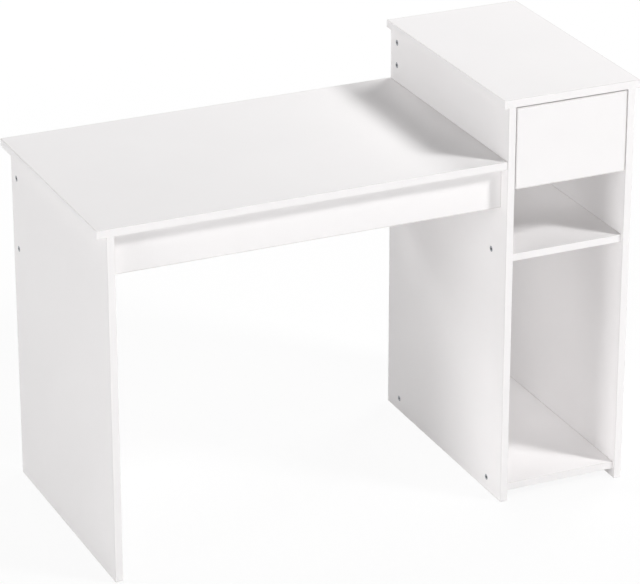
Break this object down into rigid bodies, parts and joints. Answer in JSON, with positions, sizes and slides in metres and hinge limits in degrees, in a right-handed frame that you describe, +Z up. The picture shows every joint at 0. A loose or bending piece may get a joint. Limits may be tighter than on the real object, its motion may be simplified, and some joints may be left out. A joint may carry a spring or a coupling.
{
  "type": "desk",
  "caption": "Writing desk with a panel leg and a raised side cabinet that holds an inset drawer on roller runners above open shelves.",
  "frame": {"origin": "on the floor, at the middle of the desk's outline seen from above", "axes": "+X from the leg to the cabinet, +Y from the front to the back, +Z up"},
  "size_m": [1.12, 0.52, 0.85],
  "materials": {
    "melamine_board": "satin white melamine",
    "hardboard": "white-faced hardboard",
    "runner_steel": "white epoxy",
    "nylon": "white nylon",
    "zinc_steel": "zinc-plated",
    "beech": "raw beech"
  },
  "bodies": {
    "desk": {"desktop": "melamine_board", "left_leg": "melamine_board", "front_apron": "melamine_board", "modesty_panel": "melamine_board", "cabinet_left_side": "melamine_board", "cabinet_right_side": "melamine_board", "cabinet_top": "melamine_board", "cabinet_back_rail": "melamine_board", "cabinet_shelf": "melamine_board", "cabinet_bottom": "melamine_board", "cabinet_runner_left": "runner_steel", "cabinet_runner_right": "runner_steel", "front_roller_rivets": "zinc_steel", "cabinet_runner_screws": "zinc_steel", "confirmat_screws": "zinc_steel", "cam_locks": "zinc_steel", "cam_bolts": "zinc_steel", "dowels": "beech"},
    "drawer": {"drawer_front": "melamine_board", "drawer_left_side": "melamine_board", "drawer_right_side": "melamine_board", "drawer_back": "melamine_board", "drawer_bottom": "hardboard", "drawer_runner_left": "runner_steel", "drawer_runner_right": "runner_steel", "rear_roller_rivets": "zinc_steel", "drawer_runner_screws": "zinc_steel", "drawer_back_screws": "zinc_steel", "drawer_cam_locks": "zinc_steel", "drawer_cam_bolts": "zinc_steel", "drawer_dowels": "beech"},
    "front_roller_left": {"front_roller_left": "nylon"},
    "front_roller_right": {"front_roller_right": "nylon"},
    "rear_roller_left": {"rear_roller_left": "nylon"},
    "rear_roller_right": {"rear_roller_right": "nylon"}
  },
  "joints": [
    {"name": "drawer_slide", "type": "slide", "parent": "desk", "child": "drawer", "axis": [0, -1, 0], "range_m": [0, 0.3]},
    {"name": "front_roller_left_spin", "type": "hinge", "parent": "desk", "child": "front_roller_left", "pos_m": [0.298, -0.23, 0.6971], "axis": [1, 0, 0], "range_deg": [0, 1915]},
    {"name": "rear_roller_left_spin", "type": "hinge", "parent": "drawer", "child": "rear_roller_left", "pos_m": [0.298, 0.142, 0.6952], "axis": [1, 0, 0], "range_deg": [0, 2052]},
    {"name": "front_roller_right_spin", "type": "hinge", "parent": "desk", "child": "front_roller_right", "pos_m": [0.53, -0.23, 0.6971], "axis": [1, 0, 0], "range_deg": [0, 1915]},
    {"name": "rear_roller_right_spin", "type": "hinge", "parent": "drawer", "child": "rear_roller_right", "pos_m": [0.53, 0.142, 0.6952], "axis": [1, 0, 0], "range_deg": [0, 2052]}
  ],
  "couplings": [
    {"joint": "front_roller_left_spin", "follows": "drawer_slide", "rad_per_m": 111.11},
    {"joint": "rear_roller_left_spin", "follows": "drawer_slide", "rad_per_m": 119.05},
    {"joint": "front_roller_right_spin", "follows": "drawer_slide", "rad_per_m": 111.11},
    {"joint": "rear_roller_right_spin", "follows": "drawer_slide", "rad_per_m": 119.05}
  ]
}
